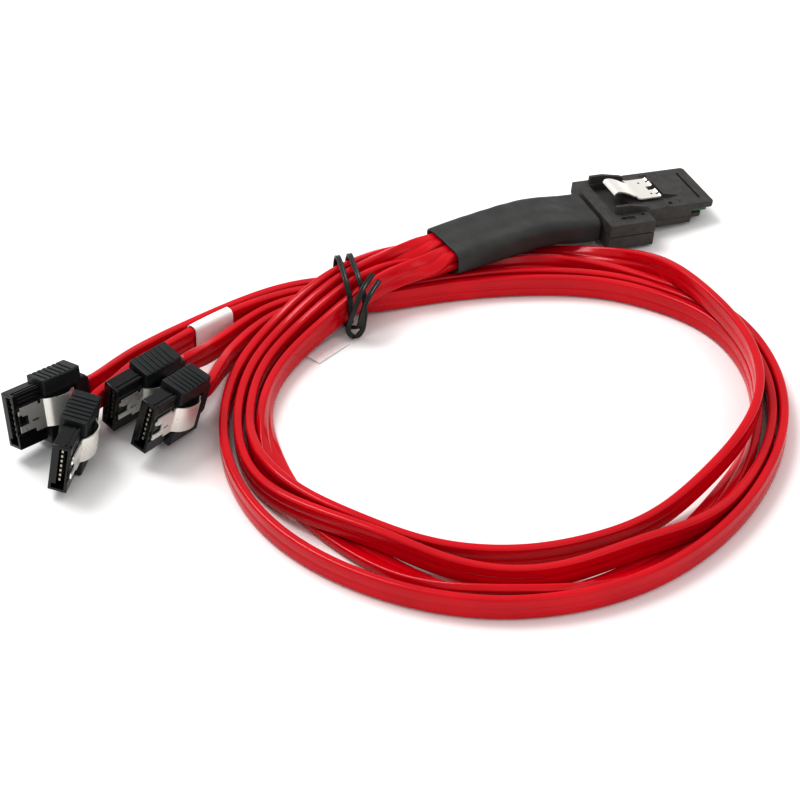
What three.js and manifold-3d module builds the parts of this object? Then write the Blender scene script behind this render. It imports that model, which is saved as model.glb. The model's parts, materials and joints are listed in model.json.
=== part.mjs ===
// Mini SAS breakout cable: one wide plug, a heat-shrink sleeve, four flat cables laid in a loop,
// and four angled-latch disk connectors. Millimetres, +Z up, resting on the floor at z = 0.
import * as THREE from 'three';
import Module from 'manifold-3d';
import { mergeVertices } from 'three/addons/utils/BufferGeometryUtils.js';

// Driving dimensions

const GAP = 0.3;                       // clearance between separate pieces that touch
const ORIGIN = [3.4, -26.7, 0];       // layout frame to bounding-box centre of the rigid pieces

const CABLE = { width: 5.2, thick: 1.95, waist: 1.5 };
const SLEEVE = { width: 14.8, height: 6.2, wall: 0.5, corner: 1.5 };

// Disk connector, local frame: +X from mating rim to cable, -Y the latch face, +Z along the tall side
const SHROUD = { length: 7.0, thick: 4.0, height: 12.3 };
const SLOT = { rim: 0.75, backWall: 1.0, low: -1.3, high: 0.4, footHeight: 1.2, footHigh: 1.35 };
const CONTACT = { count: 7, pitch: 1.27, inset: 0.7, spare: 0.4, thick: 0.45, width: 0.65, offset: 0.5 };
const BOOT = { length: 9.7, thick: 6.0, height: 14.4, bevel: 0.45 };
const BOOT_START = SHROUD.length + GAP;
const BOOT_END = BOOT_START + BOOT.length;
const COLLAR = { length: 2.4, thick: 4.6, height: 8.6, bevel: 0.6, corner: 0.8, root: 1 };
const GROOVE = { count: 6, inset: 1.1, pitch: 1.25, width: 0.4, depth: 0.35 };
const POCKET = { length: 8.1, height: 7.4, depth: 0.9 };
const STRAP = { clearance: 0.6, sheet: 0.3, stand: 0.35, rise: 2.0, inset: 0.6 };

// Where each disk connector lies: rim centre, heading, lean towards the latch side, nose lift (degrees)
const CONNECTORS = [
  { name: 'sata_1', x: -80.7, y: -19.4, heading: 45, lean: -13, lift: 6 },
  { name: 'sata_2', x: -69.2, y: -32.7, heading: 79, lean: 11, lift: 0 },
  { name: 'sata_3', x: -61.2, y: -12.2, heading: 46, lean: 12, lift: 0 },
  { name: 'sata_4', x: -52.9, y: -22.2, heading: 57, lean: 13, lift: 9 },
];

// Wide plug, local frame: +X from cable to nose, +Y the far side, +Z up
const PLUG = { x: 45.2, y: 65.5, heading: 22, dip: 5.5 };
const BLOCK = { length: 12.0, half: 10.7, split: 3.55, height: 7.0, bevel: 0.3 };
const NOSE = { length: 18.4, step: 4.8, roof: 1.6, cheek: 1.0, corner: 0.6, lowerEnd: 5.9, lowerFloor: 1.5 };
const NOSE_END = BLOCK.length + NOSE.length;
const LOWER_END = NOSE_END - NOSE.lowerEnd;
const NOSE_NEAR = -BLOCK.half + NOSE.step;
const NOSE_FAR = BLOCK.half;
const CARD = { inset: 1.2, length: 14.2, side: 1.3, thick: 1.0, below: 0.35 };
const TONGUE = { inset: 2.0, side: 1.5, low: 1.9, high: 3.1 };
const RAIL = { inset: 3.5, length: 8.5, thick: 0.9, far: 1.3, height: 2.0 };
const WELL = { inset: 3.2, length: 5.8, near: 0.4, far: 0.5, depth: 1.6 };
const LATCH = { near: -1.9, far: 6.6, sheet: 0.4, stand: 0.7, plate: 0.4, hook: 5.0, tip: 0.5 };
const RAMP = { length: 4.6, height: 1.1, clearance: 0.5 };

// Loop geometry shared by the four cables
const LOOP = [22, -8];

// Cable routes, from plug to connector. Each row is [x, y, z, lean]: millimetres in the layout
// frame, and the angle in degrees by which the top edge of the flat section tips to the right
// of travel. Rows made by around() give [angle, radius, z, lean] about the loop centre instead.

function around(rows) {
  return rows.map(([angle, radius, z, lean]) => {
    const a = THREE.MathUtils.degToRad(angle);
    return [LOOP[0] + radius * Math.cos(a), LOOP[1] + radius * Math.sin(a), z, lean];
  });
}

const ROUTES = [
  // outermost on the left, the bottom and the right
  [
    [43.6, 68.1, 3.5, 90],
    [40.8, 66.9, 3.8, 90],
    [30.3, 61.1, 6.4, 90],
    [17.2, 52.6, 7.4, 90],
    [8.4, 47.4, 7.4, 90],
    [0.8, 44.6, 7.5, 50],
    [-5.8, 41.5, 8.2, 15],
    [-13.3, 34.6, 9.5, 5],
    [-18.9, 30.2, 9.0, 5],
    [-24.2, 25.6, 5.2, 5],
    ...around([
      [150, 58.2, 3.6, 3],
      [158, 59.1, 2.8, 0],
      [168, 59.5, 2.65, 0],
      [180, 59.6, 2.65, 0],
      [192, 60.3, 2.65, 0],
      [204, 60.6, 2.65, 0],
      [216, 61.0, 2.65, 0],
      [228, 60.8, 2.65, 0],
      [240, 60.5, 2.65, 0],
      [252, 60.5, 2.65, 0],
      [264, 60.5, 2.65, 0],
      [276, 60.0, 2.65, 0],
      [288, 59.3, 2.65, 0],
      [300, 58.6, 2.65, 0],
      [312, 57.6, 2.65, 0],
      [324, 57.4, 2.65, 0],
      [336, 57.6, 2.65, 0],
      [348, 58.8, 2.65, 0],
      [0, 60.3, 2.65, 0],
      [12, 61.6, 2.65, 0],
      [24, 62.7, 2.65, 0],
      [36, 63.3, 2.65, 0],
      [48, 60.6, 2.65, 0],
      [60, 59.3, 2.65, 0],
      [72, 58.7, 2.65, 10],
      [84, 56.9, 2.35, 50],
      [96, 53.4, 2.65, 15],
      [108, 52.0, 2.65, 0],
      [119, 52.9, 2.65, 0],
    ]),
    [-12.0, 35.2, 3.8, 0],
    [-20.0, 36.0, 3.2, 0],
    [-28.6, 33.2, 2.65, 0],
    [-37.5, 26.2, 3.5, 0],
    [-44.4, 20.2, 3.6, 0],
    [-51.5, 12.0, 4.0, 0],
    [-57.0, 3.6, 5.8, 0],
    [-61.2, -5.0, 7.3, -8],
  ],
  // second on the left and on the right
  [
    [43.6, 68.1, 5.8, 90],
    [40.8, 66.9, 6.1, 90],
    [30.3, 61.1, 8.7, 90],
    [17.2, 52.6, 9.7, 90],
    [8.4, 47.4, 9.7, 90],
    [2.0, 43.1, 9.4, 50],
    [-4.2, 39.8, 8.6, 15],
    [-11.6, 32.8, 9.5, 5],
    [-17.0, 28.5, 8.8, 5],
    [-22.3, 24.0, 5.0, 5],
    ...around([
      [150, 55.6, 3.4, 0],
      [158, 56.6, 2.8, 0],
      [168, 56.7, 2.65, 0],
      [180, 56.8, 2.65, 0],
      [192, 57.1, 2.65, 0],
      [202, 57.1, 2.7, 0],
      [210, 56.4, 3.6, 0],
      [218, 54.6, 4.9, 0],
      [228, 51.6, 4.95, 0],
      [240, 49.6, 4.9, 0],
      [252, 50.6, 3.4, -4],
      [264, 51.8, 2.65, -6],
      [276, 52.2, 2.65, -6],
      [288, 51.4, 3.4, -4],
      [300, 51.2, 4.9, 0],
      [312, 54.4, 4.9, 0],
      [324, 54.9, 3.4, 0],
      [336, 55.2, 2.65, 0],
      [348, 56.4, 2.65, 0],
      [0, 57.8, 2.65, 0],
      [12, 59.2, 2.65, 0],
      [24, 60.3, 2.65, 0],
      [36, 61.0, 2.65, 0],
      [48, 58.2, 2.65, 0],
      [60, 56.6, 2.65, 0],
      [72, 53.3, 2.65, 0],
      [84, 51.3, 2.65, 10],
      [96, 49.6, 2.65, 5],
      [108, 49.6, 2.65, 0],
      [119, 50.4, 2.65, 0],
    ]),
    [-12.0, 32.8, 3.8, 0],
    [-20.0, 33.6, 3.2, 0],
    [-28.6, 30.0, 2.65, 0],
    [-35.8, 22.0, 2.65, 0],
    [-41.4, 13.0, 4.0, 0],
    [-44.0, 7.0, 6.4, -8],
  ],
  // third on the left, then innermost, then over the others to the outermost at the top
  [
    [46.0, 62.5, 3.5, 90],
    [43.0, 61.3, 3.8, 90],
    [33.5, 55.7, 6.4, 90],
    [20.2, 47.6, 7.4, 90],
    [11.4, 42.4, 7.4, 90],
    [4.9, 39.2, 7.4, 50],
    [-2.1, 37.4, 8.2, 15],
    [-10.0, 31.0, 9.5, 5],
    [-15.2, 26.8, 7.3, 5],
    [-20.4, 22.4, 4.6, 3],
    ...around([
      [150, 53.0, 3.2, 0],
      [158, 54.2, 2.75, 0],
      [168, 54.2, 2.65, 0],
      [180, 54.2, 2.65, 0],
      [190, 54.5, 3.2, 0],
      [200, 54.6, 4.95, 0],
      [216, 52.2, 4.95, 0],
      [228, 49.2, 4.95, 0],
      [240, 47.0, 3.2, 0],
      [252, 46.6, 2.65, 0],
      [264, 46.0, 2.65, 0],
      [276, 45.8, 2.65, 0],
      [288, 45.1, 2.65, 0],
      [300, 45.4, 2.65, 0],
      [312, 46.0, 2.8, 0],
      [324, 46.6, 4.6, 0],
      [336, 49.3, 7.0, 0],
      [348, 52.2, 8.2, 0],
      [0, 54.6, 8.25, 0],
      [12, 56.4, 8.25, 0],
      [24, 57.5, 8.25, 0],
      [36, 58.6, 8.25, 0],
      [46, 60.6, 8.2, 0],
      [52, 62.6, 7.3, 0],
      [58, 64.2, 4.8, 5],
      [65, 65.0, 2.6, 40],
      [72, 64.2, 1.5, 78],
      [80, 64.2, 1.15, 88],
      [90, 61.4, 1.3, 80],
      [99, 58.2, 2.1, 55],
      [109, 55.2, 2.7, 15],
      [119, 55.4, 2.65, 0],
    ]),
    [-12.0, 37.6, 3.8, 0],
    [-20.0, 38.4, 3.2, 0],
    [-28.6, 36.0, 2.65, 0],
    [-38.2, 29.3, 2.65, 0],
    [-46.2, 22.8, 2.8, 0],
    [-53.6, 14.6, 4.0, 0],
    [-59.2, 6.0, 5.8, 5],
  ],
  // innermost on the left, then under two others to run beside the outermost, then back inside
  [
    [46.0, 62.5, 5.8, 90],
    [43.0, 61.3, 6.1, 90],
    [33.5, 55.7, 8.7, 90],
    [20.2, 47.6, 9.7, 90],
    [11.4, 42.4, 9.7, 90],
    [6.2, 37.7, 9.4, 50],
    [-0.2, 35.1, 8.6, 15],
    [-8.3, 29.2, 8.4, 5],
    [-13.2, 25.2, 5.2, 5],
    [-18.0, 20.4, 3.6, 2],
    ...around([
      [150, 49.6, 3.4, 0],
      [158, 50.4, 2.65, 0],
      [168, 51.2, 2.65, 0],
      [180, 51.4, 2.65, 10],
      [191, 50.9, 1.95, 55],
      [201, 51.0, 1.15, 85],
      [216, 51.3, 1.05, 90],
      [228, 51.4, 1.05, 90],
      [240, 52.6, 1.1, 88],
      [252, 55.2, 1.75, 60],
      [264, 56.2, 2.6, 20],
      [276, 56.2, 2.6, 20],
      [288, 55.4, 1.75, 60],
      [300, 54.0, 1.1, 88],
      [312, 52.2, 1.05, 90],
      [324, 50.9, 1.1, 88],
      [336, 51.6, 1.75, 60],
      [348, 52.8, 2.5, 25],
      [0, 54.4, 2.65, 0],
      [12, 56.4, 2.65, 0],
      [24, 57.9, 2.65, 0],
      [36, 58.6, 2.65, 0],
      [48, 55.8, 2.65, 0],
      [60, 53.9, 2.65, 0],
      [72, 50.5, 2.65, 0],
      [84, 48.2, 2.65, 0],
      [96, 46.9, 2.65, 0],
      [108, 47.2, 2.65, 0],
      [119, 47.9, 2.65, 0],
    ]),
    [-12.0, 30.4, 3.8, 0],
    [-20.0, 31.1, 3.2, 0],
    [-27.2, 27.4, 2.65, 0],
    [-33.0, 20.0, 2.65, 0],
    [-37.2, 11.0, 3.6, 0],
    [-39.0, 3.5, 5.6, -8],
  ],
];

const ROUTE_ENDS = ['sata_2', 'sata_3', 'sata_1', 'sata_4'];  // the disk connector at each route's end

// Where the printed labels sit: one wrapped round a cable, one lying under the strands
const WRAP_LABEL = { route: 0, from: 0.909, to: 0.927, width: 6.3, thick: 3.2, wall: 0.3 };
const FLAT_LABEL = { x: -16.4, y: 18.2, heading: 48, length: 9.6, width: 4.4, thick: 0.3 };

// Twist tie: wraps in a leaning plane round all eight strand passes. Each row is [across, z].
const TIE = {
  x: -11.5, y: 32.5, acrossX: -0.27, acrossY: 0.96, spacing: 2.6,
  wide: 1.2, thick: 0.6, twistWide: 3.2, twistThick: 1.0, tailWide: 1.0,
};
const TIE_WRAP = [
  [-3.4, 0.45], [1.5, 0.4], [6.2, 0.45], [8.0, 1.9], [7.8, 5.8], [6.0, 11.2], [4.0, 12.9],
  [-1.0, 12.9], [-5.6, 12.0], [-7.6, 10.2], [-7.9, 6.0], [-6.0, 1.8],
];
const TIE_TWIST = [[-7.9, 6.8], [-8.7, 4.0], [-9.4, 1.2]];
const TIE_TAILS = [
  [[-10.2, 23.9, 2.2], [-9.8, 22.0, 5.4], [-9.2, 21.8, 8.6], [-8.0, 24.4, 12.0], [-6.3, 29.2, 13.3]],
  [[-8.7, 24.1, 2.2], [-8.4, 21.8, 5.4], [-7.6, 21.2, 8.4], [-6.6, 23.4, 11.6], [-4.5, 27.6, 12.8]],
];

// Sleeve centre line in the layout frame
const SLEEVE_PATH = [
  [44.8, 65.3, 4.7],
  [41.9, 64.1, 5.0],
  [31.9, 58.4, 7.6],
  [18.7, 50.1, 8.6],
  [9.9, 44.9, 8.6],
];

// Helpers

const wasm = await Module();
wasm.setup();

function material(color, roughness, metalness) {
  return new THREE.MeshStandardMaterial({ color, roughness, metalness });
}

function toSolid(geometry) {
  let plain = geometry.index ? geometry.toNonIndexed() : geometry.clone();
  plain.deleteAttribute('normal');
  plain.deleteAttribute('uv');
  plain = mergeVertices(plain, 1e-4);
  return new wasm.Manifold(new wasm.Mesh({
    numProp: 3,
    vertProperties: new Float32Array(plain.attributes.position.array),
    triVerts: new Uint32Array(plain.index.array),
  }));
}

function toGeometry(solid) {
  const mesh = solid.getMesh();
  const geometry = new THREE.BufferGeometry();
  geometry.setAttribute('position', new THREE.BufferAttribute(new Float32Array(mesh.vertProperties), 3));
  geometry.setIndex(new THREE.BufferAttribute(new Uint32Array(mesh.triVerts), 1));
  return geometry;
}

function block(x0, x1, y0, y1, z0, z1) {
  const geometry = new THREE.BoxGeometry(x1 - x0, y1 - y0, z1 - z0);
  geometry.translate((x0 + x1) / 2, (y0 + y1) / 2, (z0 + z1) / 2);
  return toSolid(geometry);
}

function outline(points) {
  return new THREE.Shape(points.map(([x, y]) => new THREE.Vector2(x, y)));
}

// A plate with its outline in X and Z, bevelled, and centred on Y between y0 and y1
function sidePlate(points, y0, y1, bevel) {
  const geometry = new THREE.ExtrudeGeometry(outline(points), {
    depth: y1 - y0 - 2 * bevel,
    bevelEnabled: bevel > 0,
    bevelSize: bevel,
    bevelThickness: bevel,
    bevelOffset: -bevel,
    bevelSegments: 2,
    steps: 1,
  });
  geometry.translate(0, 0, bevel);
  geometry.rotateX(Math.PI / 2);
  geometry.translate(0, y1, 0);
  return toSolid(geometry);
}

// A plate with its outline in X and Y, bevelled, between z0 and z1
function flatPlate(points, z0, z1, bevel) {
  const geometry = new THREE.ExtrudeGeometry(outline(points), {
    depth: z1 - z0 - 2 * bevel,
    bevelEnabled: bevel > 0,
    bevelSize: bevel,
    bevelThickness: bevel,
    bevelOffset: -bevel,
    bevelSegments: 2,
    steps: 1,
  });
  geometry.translate(0, 0, z0 + bevel);
  return toSolid(geometry);
}

function rectangle(x0, x1, y0, y1) {
  return [[x0, y0], [x1, y0], [x1, y1], [x0, y1]];
}

function join(...solids) {
  return solids.reduce((a, b) => a.add(b));
}

function cut(solid, ...tools) {
  return tools.reduce((a, b) => a.subtract(b), solid);
}

const group = new THREE.Group();
group.name = 'mini_sas_breakout_cable';

function place(name, geometry, paint, matrix) {
  const placed = geometry.clone();
  if (matrix) placed.applyMatrix4(matrix);
  placed.translate(ORIGIN[0], ORIGIN[1], ORIGIN[2]);
  placed.computeVertexNormals();
  const mesh = new THREE.Mesh(placed, paint);
  mesh.name = name;
  group.add(mesh);
}

// A curve that carries a flat section: width along w and thickness along n at every step

class FlatPath extends THREE.CatmullRomCurve3 {
  constructor(rows) {
    super(rows.map(([x, y, z]) => new THREE.Vector3(x, y, z)));
    this.rows = rows;
  }

  leanAt(u) {
    const t = this.getUtoTmapping(u);
    const last = this.rows.length - 1;
    const at = Math.min(t * last, last - 1e-9);
    const i = Math.floor(at);
    const f = at - i;
    const ease = f * f * (3 - 2 * f);
    return this.rows[i][3] + (this.rows[i + 1][3] - this.rows[i][3]) * ease;
  }

  sectionAt(u) {
    const t = this.getTangentAt(u);
    const s = new THREE.Vector3().crossVectors(t, new THREE.Vector3(0, 0, 1)).normalize();
    const up = new THREE.Vector3().crossVectors(s, t);
    const lean = THREE.MathUtils.degToRad(this.leanAt(u));
    const w = up.clone().multiplyScalar(Math.cos(lean)).addScaledVector(s, Math.sin(lean));
    return { t, w, n: new THREE.Vector3().crossVectors(t, w) };
  }

  computeFrenetFrames(steps) {
    const tangents = [];
    const normals = [];
    const binormals = [];
    for (let i = 0; i <= steps; i += 1) {
      const { t, w, n } = this.sectionAt(i / steps);
      tangents.push(t);
      normals.push(w);
      binormals.push(n);
    }
    return { tangents, normals, binormals };
  }
}

function sweep(path, shape, steps) {
  return new THREE.ExtrudeGeometry(shape, { steps, extrudePath: path, bevelEnabled: false });
}

// Disk connectors

const strapHeight = POCKET.height - 2 * STRAP.clearance;

function connectorMatrix({ x, y, heading, lean, lift }) {
  const turn = new THREE.Matrix4().makeRotationZ(THREE.MathUtils.degToRad(heading));
  turn.multiply(new THREE.Matrix4().makeRotationY(THREE.MathUtils.degToRad(lift)));
  turn.multiply(new THREE.Matrix4().makeRotationX(THREE.MathUtils.degToRad(lean)));
  let lowest = Infinity;
  const ends = [
    [0, SHROUD.thick / 2, SHROUD.height / 2],
    [SHROUD.length, SHROUD.thick / 2, SHROUD.height / 2],
    [BOOT_START, BOOT.thick / 2, BOOT.height / 2],
    [BOOT_END, BOOT.thick / 2, BOOT.height / 2],
  ];
  for (const [px, py, pz] of ends) {
    for (const side of [-1, 1]) {
      lowest = Math.min(lowest, new THREE.Vector3(px, py * side, -pz).applyMatrix4(turn).z);
    }
  }
  return new THREE.Matrix4().makeTranslation(x, y, -lowest).multiply(turn);
}

function housing() {
  const h = SHROUD.height / 2;
  const w = SHROUD.thick / 2;
  const body = flatPlate(rectangle(0, SHROUD.length, -w, w), -h, h, 0.25);
  const s = h - SLOT.rim;
  const depth = SHROUD.length - SLOT.backWall;
  const blade = block(-1, depth, SLOT.low, SLOT.high, -s, s);
  const foot = block(-1, depth, SLOT.high - 0.2, SLOT.footHigh, -s, -s + SLOT.footHeight);
  const ridges = [1.85, 1.05].map((down) => block(
    1.2, SHROUD.length + 1, -w - 1, -w + 0.25, h - down, h - down + 0.35,
  ));
  const front = strapHeight / 2 - 0.2;
  const step = block(-1, 0.9, -w - 1, -w + 0.3, -front, front);
  return cut(body, blade, foot, step, ...ridges);
}

function boot() {
  const h = BOOT.height / 2;
  const w = BOOT.thick / 2;
  const body = sidePlate(rectangle(BOOT_START, BOOT_END, -h, h), -w, w, BOOT.bevel);
  const c = COLLAR.height / 2;
  const back = BOOT_END + COLLAR.length;
  const corner = COLLAR.corner;
  const collar = sidePlate(
    [
      [BOOT_END - COLLAR.root, -c],
      [back - corner, -c],
      [back, -c + corner],
      [back, c - corner],
      [back - corner, c],
      [BOOT_END - COLLAR.root, c],
    ],
    -COLLAR.thick / 2, COLLAR.thick / 2, COLLAR.bevel,
  );
  const tools = [];
  for (let i = 0; i < GROOVE.count; i += 1) {
    const x = BOOT_START + GROOVE.inset + i * GROOVE.pitch;
    tools.push(block(x, x + GROOVE.width, -w - 1, w + 1, h - GROOVE.depth, h + 1));
    tools.push(block(x, x + GROOVE.width, -w - 1, w + 1, -h - 1, -h + GROOVE.depth));
  }
  const p = POCKET.height / 2;
  tools.push(block(BOOT_START - 0.3, BOOT_START + POCKET.length, -w - 1, -w + POCKET.depth, -p, p));
  return cut(join(body, collar), ...tools);
}

// The strap: flat on the shroud, arched over the pocket, with a bent tip that is pressed
function latch() {
  const y0 = -SHROUD.thick / 2 - STRAP.stand;
  const t = STRAP.sheet;
  const bend = BOOT_START - GAP;
  const tip = BOOT_START + POCKET.length - 0.7;
  const low = y0 - STRAP.rise * 0.3;
  const high = y0 - STRAP.rise;
  const crest = y0 - STRAP.rise * 0.65;
  const strip = [
    [STRAP.inset, y0], [bend, y0], [bend + 1.6, crest], [bend + 3.6, high],
    [tip - 2.1, high + 0.1], [tip - 0.5, low - 0.1], [tip, low],
    [tip, low - t], [tip - 0.5, low - 0.1 - t], [tip - 1.9, high + 0.1 - t], [bend + 3.6, high - t],
    [bend + 1.4, crest - t], [bend - 0.2, y0 - t], [STRAP.inset, y0 - t],
  ];
  const h = strapHeight / 2;
  const body = flatPlate(strip, -h, h, 0);
  const notch = block(0, 2.8, y0 - 2, y0 + 1, -1.1, 1.3);
  const lower = block(0, 4.6, y0 - 2, y0 + 1, -h - 1, -h + 0.7);
  const slit = block(3.8, 5.6, y0 - 2, y0 + 1, -0.9, -0.45);
  return cut(body, notch, lower, slit);
}

const housingShape = toGeometry(housing());
const bootShape = toGeometry(boot());
const latchShape = toGeometry(latch());

CONNECTORS.forEach((spot) => {
  const matrix = connectorMatrix(spot);
  place(`${spot.name}_housing`, housingShape, material(0x1d1e20, 0.5, 0), matrix);
  place(`${spot.name}_boot`, bootShape, material(0x242627, 0.6, 0), matrix);
  place(`${spot.name}_latch`, latchShape, material(0xd9d6d0, 0.3, 1), matrix);
  for (let k = 0; k < CONTACT.count; k += 1) {
    const z = (k - (CONTACT.count - 1) / 2) * CONTACT.pitch + CONTACT.offset;
    const y = SLOT.high - GAP;
    const length = SHROUD.length - SLOT.backWall - CONTACT.spare - CONTACT.inset;
    const bar = new THREE.BoxGeometry(length, CONTACT.thick, CONTACT.width);
    bar.translate(CONTACT.inset + length / 2, y - CONTACT.thick / 2, z);
    place(`${spot.name}_contact_${k + 1}`, bar, material(0xc9a24a, 0.35, 1), matrix);
  }
});

// Wide plug

const plugMatrix = new THREE.Matrix4().makeRotationZ(THREE.MathUtils.degToRad(PLUG.heading));
plugMatrix.multiply(new THREE.Matrix4().makeRotationY(THREE.MathUtils.degToRad(PLUG.dip)));
plugMatrix.premultiply(new THREE.Matrix4().makeTranslation(
  PLUG.x,
  PLUG.y,
  BLOCK.length * Math.sin(THREE.MathUtils.degToRad(PLUG.dip)),
));

// A rectangle in X and Y whose two front corners are cut off
function noseOutline(x0, x1, y0, y1, corner) {
  return [[x0, y0], [x1 - corner, y0], [x1, y0 + corner], [x1, y1 - corner], [x1 - corner, y1], [x0, y1]];
}

const root = BLOCK.length - 1;          // how far back the nose is rooted in the rear block
const latchMiddle = (LATCH.near + LATCH.far) / 2;

function upperShell() {
  const b = BLOCK;
  const low = b.split + GAP / 2;
  const rear = flatPlate(rectangle(0, b.length, -b.half, b.half), low, b.height, b.bevel);
  const roofLine = noseOutline(root, NOSE_END, NOSE_NEAR, NOSE_FAR, NOSE.corner);
  const roof = flatPlate(roofLine, b.height - NOSE.roof, b.height, b.bevel);
  const cheekTop = b.height - 0.5;
  const nearCheek = block(root, LOWER_END, NOSE_NEAR, NOSE_NEAR + NOSE.cheek, low, cheekTop);
  const farCheek = block(root, LOWER_END, NOSE_FAR - NOSE.cheek, NOSE_FAR, low, cheekTop);
  const z = b.height - 0.4;
  const railNear = NOSE_NEAR;
  const railFar = NOSE_FAR - RAIL.far - RAIL.thick;
  const railEnd = RAIL.inset + RAIL.length;
  const rails = [railNear, railFar].map((y) => sidePlate(
    [
      [RAIL.inset, z],
      [railEnd + 1.5, z],
      [railEnd, b.height + RAIL.height * 0.5],
      [RAIL.inset + 3.5, b.height + RAIL.height],
      [RAIL.inset, b.height + RAIL.height],
    ],
    y, y + RAIL.thick, 0.15,
  ));
  const rampStart = BLOCK.length + LATCH.plate + LATCH.hook + LATCH.tip + RAMP.clearance;
  const rampEnd = rampStart + RAMP.length;
  const ramp = sidePlate(
    [[rampStart, z], [rampEnd, z], [rampEnd - 0.4, b.height + 0.15], [rampStart, b.height + RAMP.height]],
    latchMiddle - 3.75, latchMiddle + 2.25, 0.15,
  );
  const wellNear = railNear + RAIL.thick + WELL.near;
  const wellFar = railFar - WELL.far;
  const floor = b.height - WELL.depth;
  const well = block(WELL.inset, WELL.inset + WELL.length, wellNear, wellFar, floor, b.height + 5);
  const slitStart = NOSE_END - 3.2;
  const slit = block(slitStart, slitStart + 0.6, NOSE_NEAR + 2.3, NOSE_FAR - 2.3, b.height - 0.6, b.height + 1);
  const holes = [[NOSE_END - 12.2, NOSE_FAR - 2.4], [NOSE_END - 11.7, NOSE_NEAR + 1.3]].map(
    ([x, y]) => block(x, x + 1, y, y + 1, b.height - 0.7, b.height + 1),
  );
  const dent = block(5.6, 7.6, -b.half + 1.7, -b.half + 3.3, b.height - 0.5, b.height + 1);
  return cut(join(rear, roof, nearCheek, farCheek, ...rails, ramp), well, slit, dent, ...holes);
}

function lowerShell() {
  const b = BLOCK;
  const top = b.split - GAP / 2;
  const rear = flatPlate(rectangle(0, b.length, -b.half, b.half), 0, top, b.bevel);
  const front = flatPlate(rectangle(root, LOWER_END, NOSE_NEAR, NOSE_FAR), NOSE.lowerFloor, top, b.bevel);
  const tongueNear = NOSE_NEAR + TONGUE.side;
  const tongueFar = NOSE_FAR - TONGUE.side;
  const tongueEnd = NOSE_END - TONGUE.inset;
  const tongueLine = noseOutline(LOWER_END - 1, tongueEnd, tongueNear, tongueFar, NOSE.corner);
  return join(rear, front, flatPlate(tongueLine, TONGUE.low, TONGUE.high, 0.25));
}

// The sprung lever: a folded thumb tab at the rear, a flat plate, and hooks with upturned ends
function plugLatch() {
  const z = BLOCK.height + LATCH.stand;
  const t = LATCH.sheet;
  const plate = BLOCK.length + LATCH.plate;
  const hook = plate + LATCH.hook;
  const tip = hook + LATCH.tip;
  const strip = [
    [5.0, z + 1.0], [5.6, z + 2.6], [6.6, z + 3.0], [plate - 2, z + 1.4],
    [plate, z], [hook, z], [tip, z + 0.5],
    [tip, z + 0.5 - t * 1.2], [hook + 0.1, z - t], [plate - 0.2, z - t],
    [plate - 2.3, z + 1.0], [6.7, z + 2.5], [6.0, z + 2.3], [5.4, z + 0.9],
  ];
  const body = sidePlate(strip, LATCH.near, LATCH.far, 0);
  const end = hook + 2;
  const middle = block(hook - 1.6, end, latchMiddle - 0.95, latchMiddle + 0.65, z - 2, z + 2);
  const hooks = [LATCH.near + 1, LATCH.far - 1.7].map((y) => block(hook - 0.6, end, y, y + 0.7, z - 2, z + 2));
  const shoulder = block(plate + 0.2, end, LATCH.near - 1, LATCH.near + 0.7, z - 2, z + 2);
  const shoulderFar = block(plate + 0.2, end, LATCH.far - 0.7, LATCH.far + 1, z - 2, z + 2);
  return cut(body, middle, shoulder, shoulderFar, ...hooks);
}

function card() {
  const end = NOSE_END - CARD.inset;
  const high = BLOCK.height - NOSE.roof - CARD.below;
  return block(
    end - CARD.length, end, NOSE_NEAR + CARD.side, NOSE_FAR - CARD.side, high - CARD.thick, high,
  );
}

place('mini_sas_upper_shell', toGeometry(upperShell()), material(0x474543, 0.7, 0), plugMatrix);
place('mini_sas_lower_shell', toGeometry(lowerShell()), material(0x3f3d3b, 0.7, 0), plugMatrix);
place('mini_sas_card', toGeometry(card()), material(0x4f7a4a, 0.45, 0), plugMatrix);
place('mini_sas_latch', toGeometry(plugLatch()), material(0xe0dad0, 0.3, 1), plugMatrix);

// Sleeve

function roundedSection(width, height, corner) {
  const a = height / 2;
  const b = width / 2;
  const quarter = [[0, -corner], [-0.29 * corner, -0.29 * corner], [-corner, 0]];
  const corners = [[1, 1], [-1, 1], [-1, -1], [1, -1]];
  return corners.flatMap(([sx, sy], i) => {
    const arc = quarter.map(([dx, dy]) => [sx * (a + dx), sy * (b + dy)]);
    return i % 2 === 0 ? arc : arc.reverse();
  });
}

const flatSleevePath = new FlatPath(SLEEVE_PATH.map(([x, y, z]) => [x, y, z, 0]));
const sleeveShape = outline(roundedSection(SLEEVE.width, SLEEVE.height, SLEEVE.corner));
sleeveShape.holes.push(new THREE.Path(
  roundedSection(SLEEVE.width - 2 * SLEEVE.wall, SLEEVE.height - 2 * SLEEVE.wall, SLEEVE.corner - 0.5)
    .map(([x, y]) => new THREE.Vector2(x, y)),
));
place('heat_shrink_sleeve', sweep(flatSleevePath, sleeveShape, 16), material(0x3c3c3b, 0.75, 0));

// Cables

const cableShape = outline([
  [CABLE.width / 2, -CABLE.thick * 0.22], [CABLE.width / 2, CABLE.thick * 0.22],
  [CABLE.width * 0.36, CABLE.thick / 2], [0, CABLE.waist / 2], [-CABLE.width * 0.36, CABLE.thick / 2],
  [-CABLE.width / 2, CABLE.thick * 0.22], [-CABLE.width / 2, -CABLE.thick * 0.22],
  [-CABLE.width * 0.36, -CABLE.thick / 2], [0, -CABLE.waist / 2], [CABLE.width * 0.36, -CABLE.thick / 2],
]);

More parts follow.
